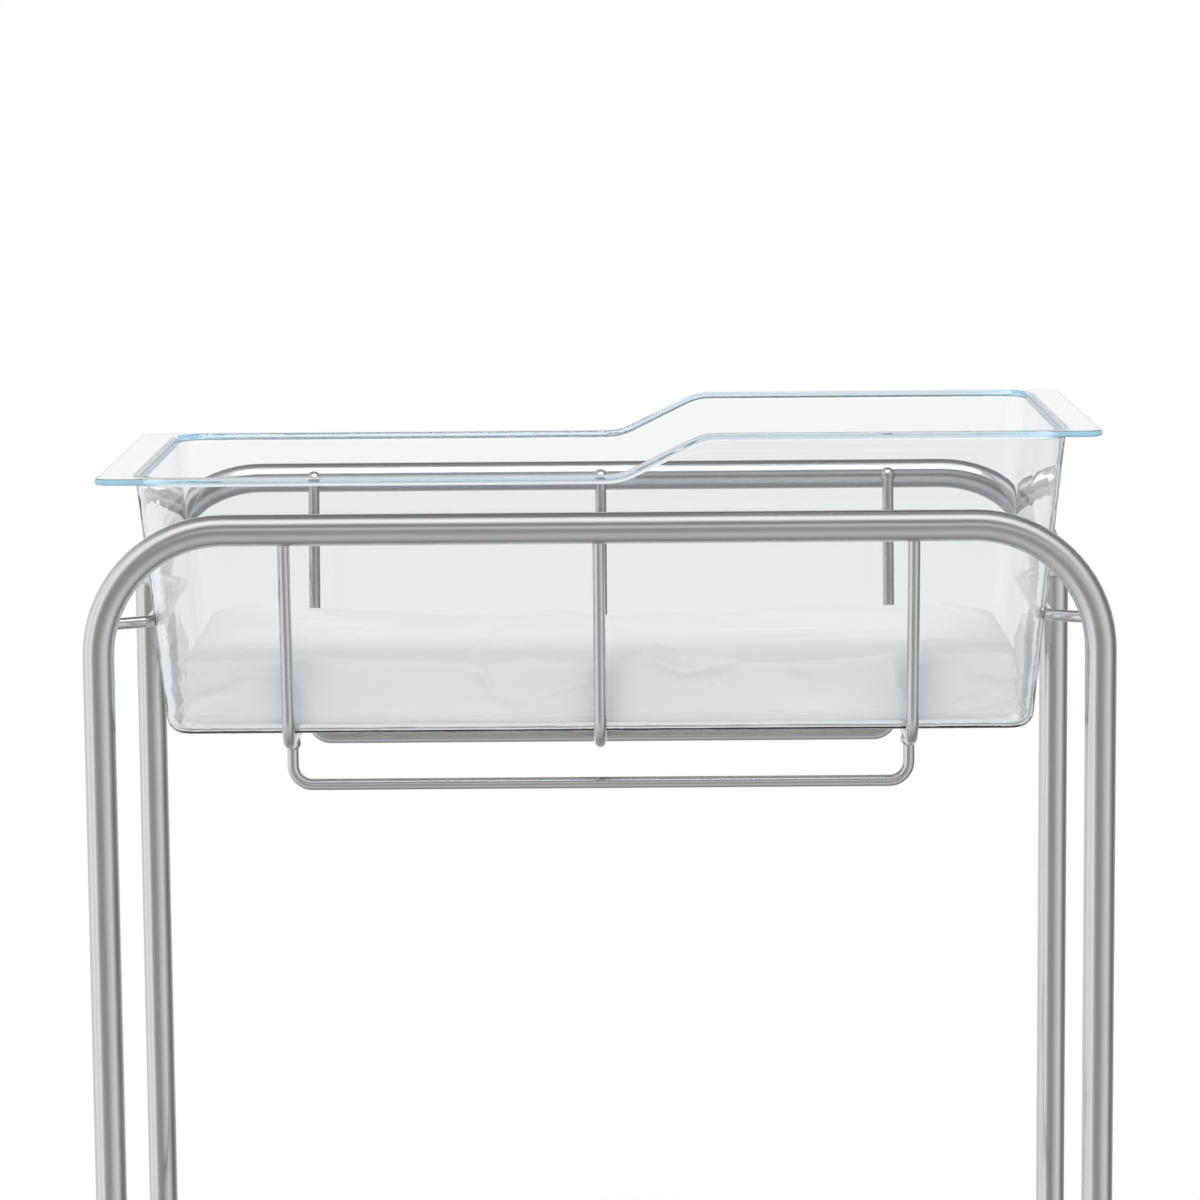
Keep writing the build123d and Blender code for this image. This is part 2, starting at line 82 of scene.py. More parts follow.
def new_material(name):
    """An empty node material and its tree, with the output node in place."""
    material = bpy.data.materials.new(name)
    material.use_nodes = True
    material.node_tree.nodes.clear()
    return material, material.node_tree


def finish_material(tree, shader, volume=None):
    """Joins the shader, and a volume if there is one, to the material's output."""
    output = add_node(tree, "ShaderNodeOutputMaterial", {"Surface": shader.outputs[0]})
    if volume:
        tree.links.new(volume.outputs[0], output.inputs["Volume"])


def dress(node_name, material):
    """Gives a node of the frame its finish."""
    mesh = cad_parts[node_name].data
    mesh.materials.clear()
    mesh.materials.append(material)


def nodes_named(start):
    """The names of the frame's nodes that start with these words."""
    return sorted(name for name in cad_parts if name.startswith(start))


def maths(tree, operation, *values):
    """A Math node's result, from values or sockets."""
    node = add_node(tree, "ShaderNodeMath", operation=operation)
    for socket, value in zip(node.inputs, values):
        if isinstance(value, bpy.types.NodeSocket):
            tree.links.new(value, socket)
        else:
            socket.default_value = value
    return node.outputs[0]


def add_piece(name, mesh, body, *materials):
    """A new object with its materials, which moves with a body of the frame."""
    piece = bpy.data.objects.new(name, mesh)
    bpy.context.scene.collection.objects.link(piece)
    for material in materials:
        mesh.materials.append(material)
    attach(piece, body)
    return piece


# Materials


def grain(tree, coordinates, stretch, detail=4.0):
    """Noise drawn out into lines: stretch is the number of grains per millimetre each way."""
    scaled = add_node(
        tree,
        "ShaderNodeMapping",
        {"Vector": coordinates, "Scale": tuple(s / MM for s in stretch)},
    )
    return add_node(
        tree,
        "ShaderNodeTexNoise",
        {"Vector": scaled.outputs[0], "Scale": 1.0, "Detail": detail, "Roughness": 0.6},
    ).outputs["Fac"]


def satin_steel(name, colour, roughness, coordinates=None, stretch=(0.02, 1.2, 1.2)):
    """Stainless steel, drawn and then satin polished: soft bands with fine lines along its length."""
    material, tree = new_material(name)
    place = coordinates(tree) if coordinates else add_node(tree, "ShaderNodeTexCoord").outputs["Object"]
    lines = grain(tree, place, stretch, detail=6.0)
    rough = add_node(
        tree,
        "ShaderNodeMapRange",
        {"Value": lines, "From Min": 0.3, "From Max": 0.7, "To Min": roughness - 0.04, "To Max": roughness + 0.08},
    )
    tint = add_node(
        tree,
        "ShaderNodeMixRGB",
        {"Fac": lines, "Color1": [c * 0.82 for c in colour[:3]] + [1.0], "Color2": colour},
    )
    bump = add_node(
        tree, "ShaderNodeBump", {"Height": lines, "Strength": 0.2, "Distance": 0.02 * MM}
    )
    shader = add_node(
        tree,
        "ShaderNodeBsdfPrincipled",
        {
            "Base Color": tint.outputs[0],
            "Metallic": 1.0,
            "Roughness": rough.outputs[0],
            "Normal": bump.outputs[0],
        },
    )
    finish_material(tree, shader)
    return material


def round_corner(tree, across, up):
    """Distance out past the centre of a rounded corner, from the distances past it each way."""
    round_x = maths(tree, "MAXIMUM", across, 0.0)
    round_z = maths(tree, "MAXIMUM", up, 0.0)
    squares = maths(tree, "ADD", maths(tree, "POWER", round_x, 2.0), maths(tree, "POWER", round_z, 2.0))
    straight = maths(tree, "MINIMUM", maths(tree, "MAXIMUM", across, up), 0.0)
    return maths(tree, "ADD", maths(tree, "SQRT", squares), straight)


def hoop_coordinates(tree):
    """Distance from the hoop's centreline, outwards in its plane and across it, along both legs and round the bends."""
    low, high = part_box("front_hoop")
    radius = (high.y - low.y) / 2
    corner_x = high.x - radius - HOOP_BEND
    corner_z = high.z - radius - HOOP_BEND
    place = add_node(
        tree,
        "ShaderNodeSeparateXYZ",
        {"Vector": add_node(tree, "ShaderNodeTexCoord").outputs["Object"]},
    )

    across = maths(tree, "SUBTRACT", maths(tree, "ABSOLUTE", place.outputs["X"]), corner_x)
    up = maths(tree, "SUBTRACT", place.outputs["Z"], corner_z)
    outwards = round_corner(tree, across, up)
    along = maths(tree, "SUBTRACT", place.outputs["Z"], place.outputs["X"])
    return add_node(
        tree, "ShaderNodeCombineXYZ", {"X": along, "Y": place.outputs["Y"], "Z": outwards}
    ).outputs[0]


def clear_acrylic(name, colour, tint, density, edge, painted_glow):
    """Polished clear acrylic: hard reflections, and a painted pale blue glowing rim, an emission on the sheet's edge
    that stands in for light running out of it.
    """
    material, tree = new_material(name)
    clear = add_node(
        tree,
        "ShaderNodeBsdfPrincipled",
        {"Base Color": colour, "Roughness": 0.01, "IOR": 1.38, "Transmission Weight": 1.0},
    )
    low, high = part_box("tub")
    place = add_node(
        tree, "ShaderNodeSeparateXYZ", {"Vector": add_node(tree, "ShaderNodeTexCoord").outputs["Object"]}
    )
    reach = round_corner(
        tree,
        maths(tree, "SUBTRACT", maths(tree, "ABSOLUTE", place.outputs["X"]), high.x - RIM_CORNER),
        maths(tree, "SUBTRACT", maths(tree, "ABSOLUTE", place.outputs["Y"]), high.y - RIM_CORNER),
    )
    # the rim's outer edge, all the way round, where the glowing pale blue is painted
    rim = add_node(
        tree,
        "ShaderNodeMapRange",
        {"Value": reach, "From Min": RIM_CORNER - 1.6 * MM, "From Max": RIM_CORNER - 0.3 * MM, "To Max": painted_glow},
    )
    # painted light and shade: the wide flanges at the two ends gather more light than the narrow sides, so the edge's
    # colour is painted full at the ends and darker along the sides
    end = add_node(
        tree,
        "ShaderNodeMapRange",
        {
            "Value": maths(tree, "ABSOLUTE", place.outputs["X"]), "From Min": high.x - 120 * MM,
            "From Max": high.x - 20 * MM,
        },
        interpolation_type="SMOOTHSTEP",
    )
    # painted shade: the edge's colour at 45 percent along the narrow sides, full at the ends
    tone = add_node(
        tree, "ShaderNodeMixRGB", {"Fac": end.outputs[0], "Color1": [c * 0.45 for c in edge[:3]] + [1.0], "Color2": edge}
    )
    # painted light: the edge takes its colour as emission as well, so it shines though no lamp lights it
    painted_edge_glow = add_node(
        tree,
        "ShaderNodeBsdfPrincipled",
        {
            "Base Color": tone.outputs[0], "Roughness": 0.25, "IOR": 1.38, "Transmission Weight": 0.35,
            "Emission Color": tone.outputs[0], "Emission Strength": 0.35,
        },
    )
    # how much of the painted glowing edge shows, less along the narrow sides
    share = maths(tree, "MULTIPLY", rim.outputs[0], maths(tree, "MULTIPLY_ADD", end.outputs[0], 0.55, 0.45))
    shader = add_node(tree, "ShaderNodeMixShader", {0: share, 1: clear.outputs[0], 2: painted_edge_glow.outputs[0]})
    volume = add_node(tree, "ShaderNodeVolumeAbsorption", {"Color": tint, "Density": density})
    finish_material(tree, shader, volume)
    return material


def plain(name, colour, roughness, metallic=0.0, spread=0.08, size=0.6):
    """A moulded or plated surface with a fine, even unevenness of tone and gloss."""
    material, tree = new_material(name)
    place = add_node(tree, "ShaderNodeTexCoord").outputs["Object"]
    speck = grain(tree, place, (1 / size,) * 3)
    tone = add_node(
        tree,
        "ShaderNodeMixRGB",
        {"Fac": speck, "Color1": [c * (1 - spread) for c in colour[:3]] + [1.0], "Color2": colour},
    )
    gloss = add_node(
        tree,
        "ShaderNodeMapRange",
        {"Value": speck, "To Min": roughness - spread / 2, "To Max": roughness + spread / 2},
    )
    shader = add_node(
        tree,
        "ShaderNodeBsdfPrincipled",
        {"Base Color": tone.outputs[0], "Metallic": metallic, "Roughness": gloss.outputs[0]},
    )
    finish_material(tree, shader)
    return material


def woven_cotton(name, colour, thread):
    """Plain-woven cotton sheet: matt, with a fine even weave and soft patches of tone."""
    material, tree = new_material(name)
    place = add_node(tree, "ShaderNodeTexCoord").outputs["Object"]
    # the real thread is about 0.3 mm, drawn coarser so that the weave shows
    weave = []
    for axis in ("X", "Y", "Z"):
        waves = add_node(
            tree, "ShaderNodeTexWave", {"Vector": place, "Scale": 0.314 / thread, "Distortion": 0.6, "Detail": 1.0},
            wave_type="BANDS", bands_direction=axis,
        )
        weave.append(waves.outputs["Fac"])
    cloth = maths(tree, "MULTIPLY", maths(tree, "ADD", weave[0], weave[1]), maths(tree, "ADD", weave[2], 0.5))
    patch = grain(tree, place, (0.012, 0.02, 0.02), detail=3.0)
    tone = add_node(
        tree, "ShaderNodeMixRGB", {"Fac": patch, "Color1": [c * 0.93 for c in colour[:3]] + [1.0], "Color2": colour}
    )
    bump = add_node(tree, "ShaderNodeBump", {"Height": cloth, "Strength": 0.25, "Distance": 0.1 * MM})
    shader = add_node(
        tree,
        "ShaderNodeBsdfPrincipled",
        {"Base Color": tone.outputs[0], "Roughness": 0.85, "Sheen Weight": 0.15, "Normal": bump.outputs[0]},
    )
    finish_material(tree, shader)
    return material


# Settings


class SteelSettings(bpy.types.PropertyGroup):
    colour: FloatVectorProperty(
        name="Steel", description="Colour of the bare steel", subtype="COLOR", size=4, default=linear("#D2D2D4")
    )
    roughness: FloatProperty(
        name="Roughness", description="How soft the steel's reflections are", default=0.15, min=0.05, max=1.0
    )


class TubSettings(bpy.types.PropertyGroup):
    colour: FloatVectorProperty(
        name="Surface", description="Tone of the clear plastic", subtype="COLOR", size=4, default=linear("#F9FAFA")
    )
    tint: FloatVectorProperty(
        name="Tint", description="Colour that the plastic takes with depth", subtype="COLOR", size=4,
        default=linear("#7FBEDC"),
    )
    density: FloatProperty(
        name="Tint density", description="How fast the tint deepens, per metre of plastic", default=12.0, min=0.0
    )
    # colour of the rim's painted glowing edge, painted on it and given off as emission
    edge: FloatVectorProperty(
        name="Edge", description="Colour of the light that leaves the rim's edge", subtype="COLOR", size=4,
        default=linear("#AFD9EC"),
    )
    # how much of the rim's edge the painted glowing colour covers
    painted_glow: FloatProperty(
        name="Edge strength", description="How much of the rim's edge shows that colour", default=0.8, min=0.0, max=1.0
    )


class MattressSettings(bpy.types.PropertyGroup):
    colour: FloatVectorProperty(
        name="Sheet", description="Colour of the fitted sheet", subtype="COLOR", size=4, default=linear("#EBEBEB")
    )
    thread: FloatProperty(
        name="Thread spacing", description="Distance from thread to thread of the weave", default=0.9 * MM,
        min=0.2 * MM, unit="LENGTH",
    )
    swell: FloatProperty(
        name="Swell", description="How far the filling may push the sheet out", default=2 * MM, min=0.0, unit="LENGTH"
    )
    fold: FloatProperty(
        name="Folds", description="Height of the sheet's wrinkles", default=1.3 * MM, min=0.0, unit="LENGTH"
    )
    seam_height: FloatProperty(
        name="Seam height", description="Height of the piped seam over the mattress's underside", default=9 * MM,
        min=0.0, unit="LENGTH",
    )


class CasterSettings(bpy.types.PropertyGroup):
    plate: FloatVectorProperty(
        name="Plating", description="Colour of the zinc plate", subtype="COLOR", size=4, default=linear("#C9CBD0")
    )
    tread: FloatVectorProperty(
        name="Tread", description="Colour of the tyres", subtype="COLOR", size=4, default=linear("#6E7074")
    )
    centre: FloatVectorProperty(
        name="Wheel centre", description="Colour of the wheels' centres", subtype="COLOR", size=4,
        default=linear("#B9BBBE"),
    )
    pedal: FloatVectorProperty(
        name="Pedal", description="Colour of the brake pedals", subtype="COLOR", size=4, default=linear("#2A2B2D")
    )


class StageSettings(bpy.types.PropertyGroup):
    floor: FloatVectorProperty(
        name="Floor", description="Colour of the floor", subtype="COLOR", size=4, default=linear("#F4F5F6")
    )
    fill: FloatProperty(
        name="Fill light", description="Level of the even light from all round", default=0.8, min=0.0
    )
    key_power: FloatProperty(
        name="Key light", description="Power of the large soft light in front", default=32.0, min=0.0, unit="POWER"
    )


class BassinetSettings(bpy.types.PropertyGroup):
    steel: PointerProperty(type=SteelSettings)
    tub: PointerProperty(type=TubSettings)
    mattress: PointerProperty(type=MattressSettings)
    casters: PointerProperty(type=CasterSettings)
    stage: PointerProperty(type=StageSettings)


# Operators


class BASSINET_OT_stand(bpy.types.Operator):
    """Finish the hoops, rods and lower frame of the stand in satin steel"""

    bl_idname = "bassinet.stand"
    bl_label = "Stand"

    def execute(self, context):
        settings = context.scene.bassinet.steel
        hoop = satin_steel("hoop_steel", settings.colour, settings.roughness, hoop_coordinates)
        upright = satin_steel("upright_rod_steel", settings.colour, settings.roughness, stretch=(1.2, 1.2, 0.02))
        level = satin_steel("level_rod_steel", settings.colour, settings.roughness, stretch=(0.02, 1.2, 1.2))
        across = satin_steel("cross_rod_steel", settings.colour, settings.roughness, stretch=(1.2, 0.02, 1.2))
        for name in ("front_hoop", "rear_hoop"):
            dress(name, hoop)
        for name in nodes_named("cradle_rod"):
            dress(name, upright)
        for name in nodes_named("lower_bar") + ["spine_tube"]:
            dress(name, level)
        for name in nodes_named("end_rod") + nodes_named("foot_rail"):
            dress(name, across)
        return {"FINISHED"}


class BASSINET_OT_tub(bpy.types.Operator):
    """Finish the tub in clear acrylic"""

    bl_idname = "bassinet.tub"
    bl_label = "Tub"

    def execute(self, context):
        settings = context.scene.bassinet.tub
        acrylic = clear_acrylic(
            "clear_acrylic", settings.colour, settings.tint, settings.density, settings.edge, settings.painted_glow
        )
        dress("tub", acrylic)
        return {"FINISHED"}


class BASSINET_OT_mattress(bpy.types.Operator):
    """Make the mattress in its fitted sheet"""

    bl_idname = "bassinet.mattress"
    bl_label = "Mattress"

    def execute(self, context):
        settings = context.scene.bassinet.mattress
        sheet = woven_cotton("woven_cotton", settings.colour, settings.thread)
        foam = plain("open_foam", linear("#EFE9D8"), 0.9, spread=0.2, size=1.5)
        low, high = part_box("mattress_sheet")
        start = soft_block(low + Vector((2, 2, 0)) * MM, high - Vector((2, 2, 3)) * MM)
        shape = settle(start, low, high, settings.swell)
        fold(shape, low, high, settings.fold)
        mattress = add_piece("mattress_cover", shape, "mattress", sheet, foam)
        bare_underside(shape, low, high)
        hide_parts("mattress_sheet", "mattress_foam")
        seam_z = low.z + settings.seam_height
        seam = section_points(shape, Vector((0, 0, seam_z)), Vector((0, 0, 1)))
        seam.sort(key=lambda point: math.atan2(point.y, point.x))
        pieces = [piping("seam_piping", seam, PIPING, sheet)]
        for end, (across, along) in CORNERS.items():
            corner = Vector((across * high.x, along * high.y))
            cut = section_points(shape, corner.to_3d(), Vector((across, -along, 0)))
            upright = [
                point for point in cut
                if (point.xy - corner).length < CORNER_REACH and seam_z < point.z < high.z - 12 * MM
            ]
            upright.sort(key=lambda point: point.z)
            pieces.append(piping(f"corner_piping_{end}", upright, PIPING, sheet, closed=False))
        return {"FINISHED"}


# How thick the sewn piping is, and how near to a square corner the rounded one comes
PIPING = 1.3 * MM
CORNER_REACH = 30 * MM
CORNERS = {"front_left": (-1, -1), "front_right": (1, -1), "rear_left": (-1, 1), "rear_right": (1, 1)}


def soft_block(low, high):
    """The mattress's blank: a block with round corners and soft edges, softer underneath."""
    shape = bmesh.new()
    bmesh.ops.create_cube(shape, size=1.0)
    bmesh.ops.scale(shape, vec=high - low, verts=shape.verts)
    bmesh.ops.translate(shape, vec=(high + low) / 2, verts=shape.verts)
    upright = [e for e in shape.edges if abs(e.verts[0].co.z - e.verts[1].co.z) > MM]
    for edges, radius, segments in (
        (upright, 16 * MM, 8),
        (None, 3.5 * MM, 3),
    ):
        edges = edges or [e for e in shape.edges if all(v.co.z > high.z - MM / 100 for v in e.verts)]
        bmesh.ops.bevel(
            shape, geom=edges, offset=radius, offset_type="OFFSET", segments=segments, profile=0.5,
            affect="EDGES", material=-1, clamp_overlap=True,
        )
    foot = [e for e in shape.edges if all(v.co.z < low.z + MM / 100 for v in e.verts)]
    bmesh.ops.bevel(
        shape, geom=foot, offset=13 * MM, offset_type="OFFSET", segments=6, profile=0.5,
        affect="EDGES", material=-1, clamp_overlap=True,
    )
    mesh = bpy.data.meshes.new("mattress_blank")
    shape.to_mesh(mesh)
    shape.free()
    return mesh


def baked(piece, name):
    """The piece's mesh with its modifiers worked in, as a mesh of its own."""
    shown = piece.evaluated_get(bpy.context.evaluated_depsgraph_get())
    mesh = bpy.data.meshes.new_from_object(shown)
    mesh.name = name
    return mesh


def settle(mesh, low, high, swell):
    """Fills the blank out like stuffed cloth, kept within the space of the real mattress."""
    scene = bpy.context.scene
    blank = bpy.data.objects.new("mattress_blank", mesh)
    scene.collection.objects.link(blank)
    remesh = blank.modifiers.new("even", "REMESH")
    remesh.mode = "VOXEL"
    remesh.voxel_size = 4.5 * MM
    even = baked(blank, "mattress_even")
    blank.modifiers.clear()
    blank.data = even
    before = [vertex.co.copy() for vertex in even.vertices]
    cloth = blank.modifiers.new("fill", "CLOTH")
    cloth.settings.use_pressure = True
    cloth.settings.uniform_pressure_force = 4.0
    cloth.settings.effector_weights.gravity = 0.0
    cloth.point_cache.frame_end = 20
    for step in range(1, 21):
        scene.frame_set(step)
    after = baked(blank, "mattress_filled")
    blank.modifiers.clear()
    for vertex, start, end in zip(even.vertices, before, after.vertices):
        move = end.co - start
        vertex.co = start + move * min(1.0, swell / max(move.length, 1e-9))
    scene.frame_set(1)
    for vertex in even.vertices:
        vertex.co.z = min(max(vertex.co.z, low.z), high.z)
    smooth = blank.modifiers.new("smooth", "SUBSURF")
    smooth.levels = smooth.render_levels = 1
    finished = baked(blank, "mattress_cover")
    bpy.data.objects.remove(blank)
    finished.shade_smooth()
    return finished


def crease(place, width):
    """A thin fold along the line where the noise changes sign, from 0 away from it to 1 on it."""
    return max(0.0, 1.0 - abs(noise.noise(place)) / width) ** 2


# Folds of the sheet, each from one point to another, with its half width and its height, in
# millimetres: along the mattress and up on its long sides, and along and across on its top
FRONT_FOLDS = (
    ((-338, 30), (-290, 39), 3.0, 1.6),
    ((-338, 21), (-296, 31), 4.0, -1.3),
    ((-262, 58), (-236, 16), 7.0, 1.4),
    ((-98, 54), (-88, 34), 5.0, 2.0),
    ((-88, 34), (-62, 14), 6.0, 1.6),
    ((30, 56), (68, 49), 4.5, 2.4),
    ((68, 49), (112, 57), 5.0, 2.6),
    ((86, 52), (97, 36), 4.0, -1.6),
    ((148, 55), (170, 44), 5.0, 1.2),
    ((236, 46), (246, 20), 5.0, 1.8),
    ((296, 36), (338, 27), 3.0, -2.2),
    ((306, 12), (338, 20), 5.0, 2.4),
)
TOP_FOLDS = (
    ((-330, -128), (-236, -60), 9.0, 1.6),
    ((-262, -140), (-244, -20), 8.0, 1.5),
    ((-120, -140), (-70, 30), 10.0, 1.3),
    ((28, -142), (60, -96), 8.0, 2.4),
    ((66, -120), (114, -142), 9.0, 2.8),
    ((120, -60), (260, -20), 12.0, 1.2),
    ((232, -142), (300, -70), 9.0, 1.8),
    ((296, 140), (330, 60), 9.0, 1.6),
    ((-310, 136), (-240, 90), 9.0, 1.6),
)


# How far the upper edge of a long side stands over or under the mattress's top, by the distance
# along it, both in millimetres
EDGE_RISE = ((-344, 0), (-325, 1), (-281, 4.5), (-245, 4), (-152, 0.5), (-97, -3.5), (-57, 0.5), (-9, -4.5),
             (41, 1.5), (69, -5.5), (121, -4), (205, 2), (285, 5), (337, 5), (344, 4.5))


def edge_rise(across):
    """The rise of the upper edge at a place along it, eased from each listed point to the next."""
    along = across / MM
    for (start, low_rise), (end, high_rise) in zip(EDGE_RISE, EDGE_RISE[1:]):
        if along <= end:
            share = min(max((along - start) / (end - start), 0.0), 1.0)
            eased = share * share * (3 - 2 * share)
            return (low_rise + (high_rise - low_rise) * eased) * MM
    return EDGE_RISE[-1][1] * MM


def drawn_folds(across, up, folds):
    """The height that the listed folds add at a point."""
    point = Vector((across, up)) / MM
    height = 0.0
    for start, end, width, rise in folds:
        start, end = Vector(start), Vector(end)
        line = end - start
        share = min(max((point - start).dot(line) / line.length_squared, 0.0), 1.0)
        off = (point - start - line * share).length / width
        if off < 3:
            height += 2 * rise * math.exp(-off * off) * math.sin(math.pi * (0.15 + 0.7 * share))
    return height


def fold(mesh, low, high, depth):
    """Wrinkles of a fitted sheet: drawn in at the corners, a few long folds, a wavy top edge."""
    centre = (low + high) / 2
    # read before any point moves, because a move makes every normal be worked out again
    places = [vertex.co.copy() for vertex in mesh.vertices]
    normals = [vertex.normal.copy() for vertex in mesh.vertices]
    for vertex, place, normal in zip(mesh.vertices, places, normals):
        side = 1.0 - min(1.0, abs(normal.z) * 1.4)
        top = max(0.0, normal.z)
        to_end = max(0.0, high.x - abs(place.x))
        to_side = max(0.0, high.y - abs(place.y))
        from_corner = math.hypot(to_end, to_side)
        corner = math.exp(-from_corner / (45 * MM))
        tuck = math.sin((place.z - low.z) / (5.2 * MM) + from_corner / (14 * MM)) * corner
        soft = noise.noise(Vector((place.x * 7.0, place.y * 11.0, place.z * 9.0)))
        drawn = crease(Vector((place.x * 9.0, place.y * 9.0 + 3.1, place.z * 34.0)), 0.07)
        patch = max(0.0, noise.noise(Vector((place.x * 6.0 + 4.7, place.y * 6.0, 1.3))) + 0.15)
        long_fold = crease(Vector((place.x * 3.5 + 9.2, place.y * 14.0, 0.4)), 0.06)
        height = side * (1.5 * tuck + 0.9 * soft + 4.0 * drawn * patch)
        height += top * (2.4 * soft + 1.8 * long_fold * (0.3 + patch) - 1.5)
        if place.y < centre.y:
            height += side * drawn_folds(place.x, place.z - low.z, FRONT_FOLDS)
        else:
            height += side * drawn_folds(-place.x, place.z - low.z, FRONT_FOLDS)
        height += top * drawn_folds(place.x, place.y, TOP_FOLDS)
        move = normal * (height * depth)
        up = (place.z - low.z) / (high.z - low.z)
        out = min(abs(place.y - centre.y) / (high.y - centre.y), 1.0)
        rise = edge_rise(place.x if place.y < centre.y else -place.x) * up * out * out
        lift = 5 * MM * math.exp(-from_corner / (28 * MM)) * max(0.0, 1.0 - (place.z - low.z) / (22 * MM))
        moved = place + move + Vector((0, 0, lift + rise))
        if place.z < low.z + 0.2 * MM and normal.z < -0.9:
            moved.z = place.z + lift + hem_rise(place, low, high)
        for axis in range(2):
            # the tub's walls leave more room higher up
            reach = high[axis] - centre[axis] + 1.5 * MM + 0.08 * (place.z - low.z)
            moved[axis] = min(max(moved[axis], centre[axis] - reach), centre[axis] + reach)
        moved.z = max(moved.z, low.z)
        vertex.co = moved


# The elastic hem underneath: how wide it is, how far its gathers wander, how deep the foam lies in it
HEM = 45 * MM
GATHER = 3 * MM
HEM_DEPTH = 2.5 * MM


def inside_hem(place, high):
    """How far a point of the underside lies inside the gathered edge of the hem."""
    to_edge = min(high.x - abs(place.x), high.y - abs(place.y))
    return to_edge - HEM - GATHER * noise.noise(Vector((place.x, place.y, 0.0)) * 60.0)


def hem_rise(place, low, high):
    """The foam's recess inside the hem, and the gathers beside it."""
    inside = inside_hem(place, high)
    if inside > 0:
        return HEM_DEPTH
    ripple = 0.5 + 0.5 * math.sin((place.x + place.y) / (1.6 * MM))
    return 1.2 * MM * ripple * math.exp(inside / (12 * MM))


def bare_underside(mesh, low, high):
    """Shows the foam underneath, inside the sheet's elastic hem."""
    for face in mesh.polygons:
        under = face.normal.z < -0.5 and face.center.z < low.z + 2 * HEM_DEPTH
        face.material_index = 1 if under and inside_hem(face.center, high) > 0 else 0


def section_points(mesh, point, normal):
    """The points, in no order, where a plane cuts a mesh."""
    shape = bmesh.new()
    shape.from_mesh(mesh)
    cut = bmesh.ops.bisect_plane(
        shape, geom=shape.verts[:] + shape.edges[:] + shape.faces[:], dist=MM / 100, plane_co=point, plane_no=normal
    )
    points = [item.co.copy() for item in cut["geom_cut"] if isinstance(item, bmesh.types.BMVert)]
    shape.free()
    return points


def piping(name, points, radius, material, closed=True):
    """Sewn piping along a line of points, crinkled by the thread that gathers it."""
    spaced = [points[0]]
    for point in points[1:]:
        if (point - spaced[-1]).length > 4 * MM:
            spaced.append(point)
    line = bpy.data.curves.new(name, "CURVE")
    line.dimensions = "3D"
    line.bevel_depth = radius
    line.bevel_resolution = 2
    line.resolution_u = 2
    line.use_fill_caps = not closed
    spline = line.splines.new("NURBS")
    spline.points.add(len(spaced) - 1)
    for control, point in zip(spline.points, spaced):
        wander = noise.noise(point * 90.0)
        control.co = (point.x, point.y, point.z + wander * 0.8 * MM, 1.0)
        control.radius = 1.0 + 0.35 * noise.noise(point * 160.0)
    spline.order_u = 3
    spline.use_cyclic_u = closed
    spline.use_endpoint_u = not closed
    curve = bpy.data.objects.new(name, line)
    bpy.context.scene.collection.objects.link(curve)
    mesh = baked(curve, name)
    bpy.data.objects.remove(curve)
    mesh.shade_smooth()
    mesh.materials.clear()
    return add_piece(name, mesh, "mattress", material)


class BASSINET_OT_casters(bpy.types.Operator):
    """Finish the casters in plated steel, nylon and rubber"""

    bl_idname = "bassinet.casters"
    bl_label = "Casters"

    def execute(self, context):
        settings = context.scene.bassinet.casters
        plate = plain("zinc_plate", settings.plate, 0.28, metallic=1.0)
        tread = plain("grey_rubber_tread", settings.tread, 0.75)
        centre = plain("moulded_nylon", settings.centre, 0.5)
        pedal = plain("black_nylon", settings.pedal, 0.55)
        rubber = plain("expander_rubber", linear("#202123"), 0.8)
        for start in ("caster_stem", "caster_race", "caster_fork", "caster_axle", "brake_pin"):
            for name in nodes_named(start):
                dress(name, plate)
        for start, finish in (
            ("caster_tyre", tread),
            ("caster_hub", centre),
            ("brake_pedal", pedal),
            ("caster_sleeve", rubber),
        ):
            for name in nodes_named(start):
                dress(name, finish)
        return {"FINISHED"}


class BASSINET_OT_stage(bpy.types.Operator):
    """Set the floor, the lights, the surroundings and the camera"""

    bl_idname = "bassinet.stage"
    bl_label = "Stage"

    def execute(self, context):
        settings = context.scene.bassinet.stage
        scene = context.scene
        scene.view_settings.view_transform = "Standard"
        add_floor(settings)
        add_lights(settings)
        add_surroundings(scene, settings)
        add_camera(scene)
        return {"FINISHED"}


def add_floor(settings):
    """A pale floor that fades out into the surroundings past the object's shadow."""
    mesh = bpy.data.meshes.new("floor")
    shape = bmesh.new()
    bmesh.ops.create_circle(shape, cap_ends=True, segments=96, radius=3.0)
    shape.to_mesh(mesh)
    shape.free()
    floor = bpy.data.objects.new("floor", mesh)
    bpy.context.scene.collection.objects.link(floor)
    material, tree = new_material("pale_floor")
    place = add_node(tree, "ShaderNodeTexCoord").outputs["Object"]
    reach = add_node(tree, "ShaderNodeVectorMath", {0: place}, operation="LENGTH")
    fade = add_node(
        tree,
        "ShaderNodeMapRange",
        {"Value": reach.outputs["Value"], "From Min": 0.55, "From Max": 1.0, "To Min": 1.0, "To Max": 0.0},
        interpolation_type="SMOOTHERSTEP",
    )
    # reflections show the studio instead of the floor
    direct = maths(tree, "SUBTRACT", 1.0, add_node(tree, "ShaderNodeLightPath").outputs["Is Glossy Ray"])
    shader = add_node(
        tree,
        "ShaderNodeBsdfPrincipled",
        {
            "Base Color": settings.floor,
            "Roughness": 0.9,
            "Alpha": maths(tree, "MULTIPLY", fade.outputs[0], direct),
        },
    )
    finish_material(tree, shader)
    mesh.materials.append(material)


def add_lights(settings):
    """One large soft lamp in front of the object and above it."""
    lamp = bpy.data.lights.new("key", "AREA")
    lamp.shape = "RECTANGLE"
    lamp.size = 2.6
    lamp.size_y = 1.8
    lamp.energy = settings.key_power
    key = bpy.data.objects.new("key", lamp)
    key.location = (0.2, -1.1, 3.0)
    key.rotation_euler = (Vector((0, 0, 0.9)) - key.location).to_track_quat("-Z", "Y").to_euler()
    key.visible_glossy = False
    bpy.context.scene.collection.objects.link(key)


